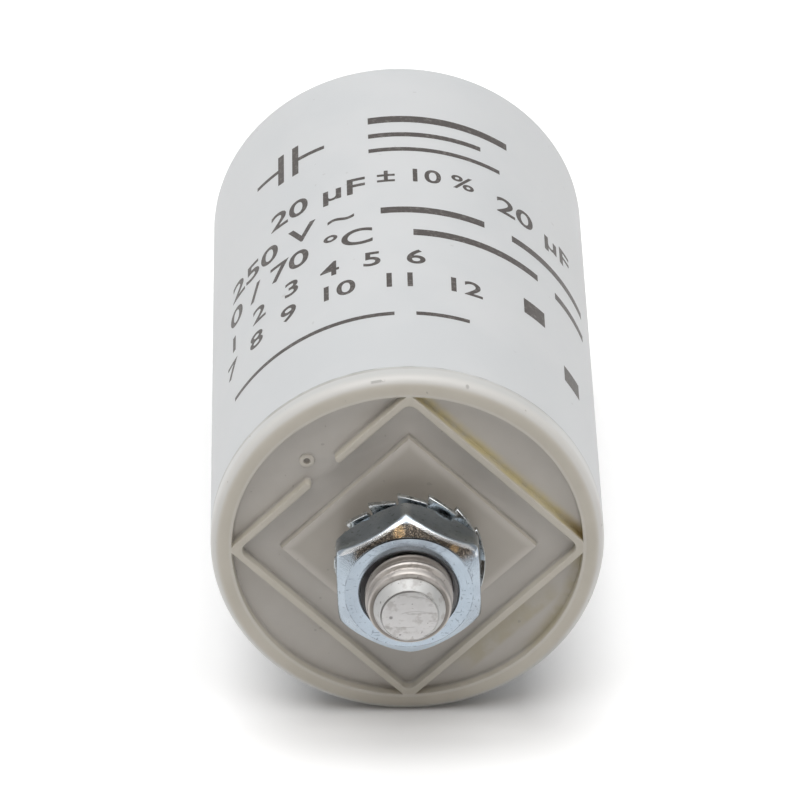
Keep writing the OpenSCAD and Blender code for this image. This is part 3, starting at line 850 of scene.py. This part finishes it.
def stud(surface):
    """The stud: worn thread, turned-down pilot with a slightly proud tip, and a hex head in the base."""
    hidden_r = PITCH_R - 0.02
    head_r = HEAD_FLATS / 2

    def radius_at(radius, y, turn):
        if radius == STUD_R:
            return radius - lead_in(y) - thread_depth(y, turn)
        if radius > STUD_R:
            return radius / head_r * hex_radius(HEAD_FLATS, turn, 0.0)
        return radius

    rows = [(0, TIP), (TIP_R - 0.1, TIP), (TIP_R - 0.03, TIP + 0.03), (TIP_R - 0.01, TIP + 0.15)]
    rows += [(TIP_R + 0.04, TIP + 0.19), (TIP_R + 0.12, TIP + 0.16), (TIP_R + 0.19, TIP + 0.22)]
    rows += [(TIP_R + 0.25, TIP + 0.36)]
    rows += [(PILOT_R - 0.22, PILOT_START - 0.55), (PILOT_R - 0.05, PILOT_START - 0.22)]
    # A crease behind the pilot, then the face and the rounded shoulder where the thread starts
    step = [(0.06, -0.06), (0.06, 0.0), (0.01, 0.05), (0.02, 0.1), (0.1, 0.11), (0.24, 0.1)]
    step += [(0.38, 0.11), (0.47, 0.15), (0.53, 0.22), (0.57, 0.32), (0.6, 0.44)]
    rows += [(PILOT_R + out, PILOT_START + along) for out, along in step]
    threaded = [SHOULDER + THREAD_STEP * i for i in range(THREAD_ROWS)]
    rows += [(STUD_R, y) for y in threaded]
    rows += [(hidden_r, threaded[-1] + 0.05), (hidden_r, NUT_BACK - 0.6)]
    rows += [(STUD_R, NUT_BACK - 0.4 + BACK_STEP * i) for i in range(BACK_ROWS)]
    rows += [(STUD_R - 0.001, HEAD_START), (HEAD_FACE * head_r, HEAD_START)]
    rows += [(head_r, HEAD_START + HEAD_EDGE), (head_r, stud_high.y - HEAD_EDGE)]
    rows += [(HEAD_FACE * head_r, stud_high.y), (0, stud_high.y)]
    shape = Shape()
    shape.revolve(rows, STUD_SEGMENTS, radius_at=radius_at)
    piece = shape.piece("stud_threaded", surface, sharp=40)
    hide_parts("mounting_stud")


def nut_side(turn):
    """Distance from the axis to the side of the nut, with rounded corners."""
    flat = hex_radius(NUT_FLATS, turn, math.radians(NUT_TURN))
    limit = NUT_HALF / math.cos(math.radians(30)) - NUT_CORNER_CUT
    nearness = math.exp(-NUT_CORNER_BEND * flat) + math.exp(-NUT_CORNER_BEND * limit)
    return -math.log(nearness) / NUT_CORNER_BEND


def nut_column(turn, face_r, soft_most):
    """Points (radius, depth) from the bore over one face and its cone to the nut's side."""
    side = nut_side(turn)
    cone = max(side - face_r, 0.05)
    soft = min(soft_most + 0.6 * max(cone - 0.9, 0.0), 0.7 * cone)
    column = [(PITCH_R, NUT_MOUTH_R - PITCH_R), (NUT_MOUTH_R - 0.12, 0.16)]
    column += [(NUT_MOUTH_R - 0.05, 0.06), (NUT_MOUTH_R, 0.015), (NUT_MOUTH_R + 0.08, 0.0)]
    column += [(NUT_MOUTH_R + 0.5, 0.0), (face_r - 0.4, 0.0), (face_r - 0.06, 0.0)]
    column += bend(column[-1], (face_r, 0.0), (face_r + 0.03, 0.03 * NUT_SLOPE), 3)
    edge = (side, cone * NUT_SLOPE)
    start = (side - soft, (cone - soft) * NUT_SLOPE)
    first = column[-1][0]
    for share in (0.33, 0.67):
        r = first + (start[0] - first) * share
        column.append((r, (r - face_r) * NUT_SLOPE))
    column.append(start)
    column += bend(start, edge, (side, edge[1] + soft), 7)
    return column


def nut(surface):
    """The nut, as columns of points from the bore over both faces, closed round the axis."""
    shape = Shape()
    turns = [2 * math.pi * k / NUT_SEGMENTS + math.radians(NUT_TURN) for k in range(NUT_SEGMENTS)]
    rings = []
    sides = ((NUT_FACE_R, 0.2, NUT_FRONT, 1), (NUT_BACK_R, 0.1, NUT_BACK, -1))
    for face_r, soft, start, sign in sides:
        columns = [nut_column(turn, face_r, soft) for turn in turns]
        side_rings = []
        for i in range(len(columns[0])):
            points = []
            for turn, column in zip(turns, columns):
                r, depth = column[i]
                points.append((r * math.cos(turn), start + sign * depth, r * math.sin(turn)))
            side_rings.append(shape.ring(points))
        rings += side_rings[::sign]
    for a, b in zip(rings, rings[1:] + rings[:1]):
        shape.bridge(a, b)
    piece = shape.piece("nut_plated", surface, sharp=50)
    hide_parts("hex_nut")


def washer(surface):
    """Lock washer whose outer teeth are twisted, each with its own side faces."""
    shape = Shape()
    step = 360 / TOOTH_COUNT
    half_tooth = step * TOOTH_SHARE / 2
    columns = 8
    rows = 5
    half = WASHER_THICKNESS / 2

    def point(radius, angle, y):
        turn = math.radians(angle)
        x, z = WASHER_OFF
        return x + radius * math.cos(turn), WASHER_MID + y, z + radius * math.sin(turn)

    fronts, backs, inner_fronts, inner_backs = [], [], [], []
    for k in range(TOOTH_COUNT):
        middle = WASHER_TURN + k * step
        angles = [middle - half_tooth + 2 * half_tooth * j / columns for j in range(columns + 1)]
        grids = {}
        for sign in (-1, 1):
            grid = []
            for i in range(rows + 1):
                share = i / rows
                radius = WASHER_ROOT + (WASHER_R - WASHER_ROOT) * share
                line = []
                for j, angle in enumerate(angles):
                    along = j / columns
                    twist = TOOTH_TWIST * (2 * along - 1) - 4 * TOOTH_BOW * along * (1 - along)
                    off_middle = sign * (half - TOOTH_THIN / 2 * share)
                    line.append(point(radius, angle, share * twist + off_middle))
                grid.append(shape.ring(line))
            for a, b in zip(grid, grid[1:]):
                shape.bridge(a, b, closed=False)
            grids[sign] = grid
        front, back = grids[-1], grids[1]
        shape.bridge(front[-1], back[-1], closed=False)
        for j in (0, columns):
            shape.bridge([row[j] for row in front], [row[j] for row in back], closed=False)
        for sign, outer, inner in ((-1, fronts, inner_fronts), (1, backs, inner_backs)):
            outer.extend(grids[sign][0])
            inner.extend(shape.ring([point(WASHER_BORE, a, sign * half) for a in angles]))
    shape.bridge(fronts, inner_fronts)
    shape.bridge(backs, inner_backs)
    shape.bridge(inner_fronts, inner_backs)
    for k in range(TOOTH_COUNT):
        ends = [(k * (columns + 1) + columns + j) % len(fronts) for j in (0, 1)]
        shape.bridge([fronts[i] for i in ends], [backs[i] for i in ends], closed=False)
    piece = shape.piece("washer_toothed", surface, sharp=30)
    soft_edges(piece, WASHER_SOFT)
    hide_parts("lock_washer")


def soft_edges(obj, width):
    """Bevels the sharp edges of a piece, by a width in millimetres."""
    bevel = obj.modifiers.new("soft_edges", "BEVEL")
    bevel.width = width * MM
    bevel.segments = 2
    bevel.limit_method = "ANGLE"
    bevel.angle_limit = math.radians(40)
    bevel.use_clamp_overlap = True


# Print: plain ratings, numbers and simple shapes, wrapped on the can

PRINT_LIFT = 0.004
PRINT_THICK = 0.01
PRINT_STRIP = 0.4
TEXT_SCALE = 1.35
TEXT_BOLD = 0.015
# Each row: text, start round the can, place along the can and height in millimetres, and stretch
PRINT_ROWS = [
    ("20 µF", -13.6, 34.8, 3.0, 1.1),
    ("± 10 %", -2.4, 36.2, 2.5, 1.0),
    ("20 µF", 9.4, 34.8, 3.0, 1.1),
    ("250 V ~", -19.6, 29.6, 3.0, 1.15),
    ("0 / 70 °C", -20.0, 25.2, 3.0, 1.15),
    ("1  2  3  4  5  6", -20.2, 20.8, 2.6, 1.1),
    ("7  8  9  10  11  12", -20.6, 16.6, 2.6, 1.1),
]
# Plain bars and blocks: start and end round the can, start and end along it
PRINT_BARS = [
    (-3.0, 11.0, 47.6, 48.8),
    (-3.0, 8.0, 44.8, 45.6),
    (-3.0, 10.0, 42.0, 42.7),
    (-2.0, 8.0, 30.2, 31.3),
    (11.0, 22.0, 30.2, 31.3),
    (1.0, 14.0, 26.0, 27.1),
    (16.5, 22.0, 26.0, 27.1),
    (-19.0, -1.0, 11.4, 12.0),
    (1.0, 6.0, 11.4, 12.0),
    (12.0, 14.6, 18.2, 20.8),
    (17.2, 19.8, 12.2, 14.8),
]
# The circuit sign for a capacitor: two plates and their leads
PRINT_BARS += [
    (-12.6, -11.9, 42.8, 48.2),
    (-10.9, -10.2, 42.8, 48.2),
    (-15.4, -12.6, 45.2, 45.8),
    (-10.2, -7.4, 45.2, 45.8),
]


def flat_text(text, size):
    """A row of text as a flat mesh, in the built-in font."""
    curve = bpy.data.curves.new("print_row", "FONT")
    curve.body = text
    curve.size = size
    curve.offset = TEXT_BOLD * size
    curve.extrude = PRINT_THICK / 2
    holder = add_object("print_row", curve)
    bpy.context.view_layer.update()
    evaluated = holder.evaluated_get(bpy.context.evaluated_depsgraph_get())
    mesh = bpy.data.meshes.new_from_object(evaluated)
    bpy.data.objects.remove(holder)
    bpy.data.curves.remove(curve)
    return mesh


def wrap_on_can(bm):
    """Bends flat print, drawn in millimetres with x round the can and y along it, onto the can."""
    low = min(v.co.x for v in bm.verts)
    high = max(v.co.x for v in bm.verts)
    cut = low + PRINT_STRIP
    while cut < high:
        everything = bm.verts[:] + bm.edges[:] + bm.faces[:]
        bmesh.ops.bisect_plane(bm, geom=everything, plane_co=(cut, 0, 0), plane_no=(1, 0, 0))
        cut += PRINT_STRIP
    for v in bm.verts:
        turn = v.co.x / CAN_R
        radius = CAN_R + PRINT_LIFT + PRINT_THICK / 2 + v.co.z
        v.co = Vector((radius * math.sin(turn), v.co.y, radius * math.cos(turn))) * MM


def add_print(target, flat):
    """Wraps flat print on the can, cleans its mesh and adds it to the target."""
    bmesh.ops.remove_doubles(flat, verts=flat.verts, dist=PRINT_THICK / 10)
    wrap_on_can(flat)
    bmesh.ops.remove_doubles(flat, verts=flat.verts, dist=PRINT_THICK / 10 * MM)
    bmesh.ops.dissolve_degenerate(flat, edges=flat.edges, dist=PRINT_THICK / 100 * MM)
    loose = [v for v in flat.verts if not v.link_faces]
    bmesh.ops.delete(flat, geom=loose, context="VERTS")
    bmesh.ops.recalc_face_normals(flat, faces=flat.faces)
    made = new_mesh("wrapped", flat)
    target.from_mesh(made)
    bpy.data.meshes.remove(made)


def print_on_can(surface):
    """All rows and bars as one thin raised piece."""
    bm = bmesh.new()
    for text, start, baseline, size, stretch in PRINT_ROWS:
        flat = bmesh.new()
        mesh = flat_text(text, size * TEXT_SCALE)
        flat.from_mesh(mesh)
        bpy.data.meshes.remove(mesh)
        for v in flat.verts:
            v.co.x = start + stretch * v.co.x
            v.co.y += baseline
        add_print(bm, flat)
    for x0, x1, y0, y1 in PRINT_BARS:
        flat = bmesh.new()
        bmesh.ops.create_cube(flat, size=1.0)
        for v in flat.verts:
            x = x0 + (v.co.x + 0.5) * (x1 - x0)
            y = y0 + (v.co.y + 0.5) * (y1 - y0)
            v.co = Vector((x, y, v.co.z * PRINT_THICK))
        add_print(bm, flat)
    finish_piece("print_ratings", new_mesh("print_ratings", bm), surface, sharp=40)


# Stage

CAMERA_AZIMUTH = -0.956
CAMERA_ELEVATION = 31.322
CAMERA_PLACE = (-9.7, -539.835, 344.37)
CAMERA_LENS = 315.56
SENSOR_WIDTH = 36.0
CLIP_NEAR = 0.01
CLIP_FAR = 20.0

FLOOR_R = 8.0
# The floor's glow: middle and half width of its least part, then least, rise for each millimetre and most
GLOW_MIDDLE = 1.5
GLOW_HALF = 9.0
GLOW_LEAST = 0.03
GLOW_RISE = 0.034
GLOW_MOST = 0.36
GLOW_FRONT = 0.06

# Levels of the room's light: overhead lamp, dim patch and warm spots, and how much darker the room is
OVERHEAD_LEVEL = 2.4
DIM_LEVEL = 0.04
WARM_LEVEL = 1.4
ROOM_DARKER = 0.46
ROOM_SLANT = 0.10


def camera():
    """A long lens where the photograph was taken from."""
    data = bpy.data.cameras.new("camera")
    data.sensor_width = SENSOR_WIDTH
    data.lens = CAMERA_LENS
    data.clip_start = CLIP_NEAR
    data.clip_end = CLIP_FAR
    holder = add_object("camera", data)
    azimuth = math.radians(CAMERA_AZIMUTH)
    elevation = math.radians(CAMERA_ELEVATION)
    back = Vector((
        math.sin(azimuth) * math.cos(elevation),
        -math.cos(azimuth) * math.cos(elevation),
        math.sin(elevation),
    ))
    holder.rotation_mode = "QUATERNION"
    holder.rotation_quaternion = (-back).to_track_quat("-Z", "Y")
    holder.location = Vector(CAMERA_PLACE) * MM
    bpy.context.scene.camera = holder


def floor():
    """A pale floor that keeps the shadow, with a glow towards white where it is seen or reflected."""
    made, g = material("floor")
    g.tree.nodes.clear()
    path = g.add("ShaderNodeLightPath").outputs
    seen = g.either(path["Is Camera Ray"], path["Is Glossy Ray"], path["Is Transmission Ray"])
    diffuse = g.add("ShaderNodeBsdfDiffuse", {"Color": rgb(0.82, 0.82, 0.82)}).outputs[0]
    _, x, y, _ = g.place()
    beside = g.math("ABSOLUTE", g.math("SUBTRACT", x, GLOW_MIDDLE))
    beside = g.math("MAXIMUM", g.math("SUBTRACT", beside, GLOW_HALF), 0.0)
    from_middle = g.math("ABSOLUTE", g.math("SUBTRACT", y, CAN_END / 2))
    past_end = g.math("MAXIMUM", g.math("SUBTRACT", from_middle, CAN_END / 2), 0.0)
    away = g.math("ADD", g.both(g.radius(beside, past_end), GLOW_RISE), GLOW_LEAST)
    in_front = g.both(g.band(y, -3.2, -0.8, 2.0), g.smooth(g.math("ABSOLUTE", x), 14.0, 6.0))
    away = g.math("ADD", away, g.both(in_front, GLOW_FRONT))
    strength = g.both(seen, g.math("MINIMUM", away, GLOW_MOST))
    glow = g.add("ShaderNodeEmission", {"Strength": strength}).outputs[0]
    surface = g.add("ShaderNodeAddShader", {0: diffuse, 1: glow}).outputs[0]
    g.add("ShaderNodeOutputMaterial", {"Surface": surface})
    bm = bmesh.new()
    bmesh.ops.create_circle(bm, cap_ends=True, segments=FLOOR_SEGMENTS, radius=FLOOR_R)
    mesh = new_mesh("floor", bm)
    mesh.materials.append(made)
    plane = add_object("floor", mesh)
    plane.location.z = -CAN_R * MM


def surroundings():
    """A white room, bright overhead, with a dim patch and two warm spots on the camera's side."""
    world = bpy.data.worlds.new("studio")
    bpy.context.scene.world = world
    world.use_nodes = True
    g = Graph(world.node_tree)
    background = world.node_tree.nodes["Background"].inputs
    direction = g.add("ShaderNodeTexCoord").outputs["Generated"]
    not_camera = g.math("SUBTRACT", 1.0, g.add("ShaderNodeLightPath").outputs["Is Camera Ray"])

    def towards(elevation, inner, outer, wide=1.0, azimuth=0.0):
        """1 within the inner angle of a direction and 0 outside the outer one, in degrees."""
        tilt = math.radians(elevation)
        swing = math.radians(azimuth)
        aim = (math.cos(tilt) * math.sin(swing), -math.cos(tilt) * math.cos(swing), math.sin(tilt))
        narrowed = g.stretch(direction, (1.0 / wide, 1.0, 1.0))
        unit = g.add("ShaderNodeVectorMath", {0: narrowed}, operation="NORMALIZE").outputs[0]
        dot = g.add("ShaderNodeVectorMath", {0: unit, 1: aim}, operation="DOT_PRODUCT").outputs["Value"]
        low, high = (math.cos(math.radians(angle)) for angle in (outer, inner))
        return g.both(g.smooth(dot, low, high), not_camera)

    overhead = g.both(towards(75, 15, 45), OVERHEAD_LEVEL)
    dim = towards(22, 33, 40, 2.2)
    warm = g.either(towards(47, 1, 6, azimuth=-14), towards(19, 1, 6, azimuth=56))
    across = g.add("ShaderNodeSeparateXYZ", {0: direction}).outputs[0]
    darker = g.math("ADD", ROOM_DARKER, g.both(across, ROOM_SLANT))
    room = g.math("SUBTRACT", 1.0, g.both(not_camera, darker))
    level = g.math("ADD", room, overhead)
    drop = g.both(g.math("SUBTRACT", level, DIM_LEVEL), dim)
    g.put(background["Color"], g.mix(dim, rgb(1.0, 1.0, 1.0), rgb(1.0, 0.74, 0.46)))
    lit = g.math("ADD", g.math("SUBTRACT", level, drop), g.both(warm, WARM_LEVEL))
    g.put(background["Strength"], lit)


def dress(node, surface):
    """Gives a CAD node its material."""
    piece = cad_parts[node]
    piece.data.materials.clear()
    piece.data.materials.append(surface)


bpy.context.scene.view_settings.view_transform = "Standard"
surroundings()
floor()
camera()

can_shell(can_plastic())
base_moulding(base_plastic())
stud(stud_metal())
nut(nut_zinc())
washer(washer_zinc())
print_on_can(ink())

terminal_metal = tin()
for side in ("left", "right"):
    dress("terminal_" + side, terminal_metal)
    dress("rivet_" + side, terminal_metal)
dress("film_winding", speckled("film", rgb(0.78, 0.80, 0.82), rgb(0.86, 0.88, 0.90), 0.2))
dress("winding_core", speckled("core_plastic", rgb(0.76, 0.76, 0.73), rgb(0.82, 0.82, 0.80), 0.4))
sprayed = speckled("sprayed_zinc", rgb(0.44, 0.45, 0.46), rgb(0.60, 0.61, 0.62), 0.6, 1.0)
dress("spray_near", sprayed)
dress("spray_far", sprayed)
copper = speckled("copper", rgb(0.66, 0.40, 0.26), rgb(0.78, 0.50, 0.34), 0.25, 1.0)
dress("lead_short", copper)
dress("lead_long", copper)
dress("potting_resin", speckled("resin", rgb(0.58, 0.52, 0.35), rgb(0.68, 0.62, 0.44), 0.3))
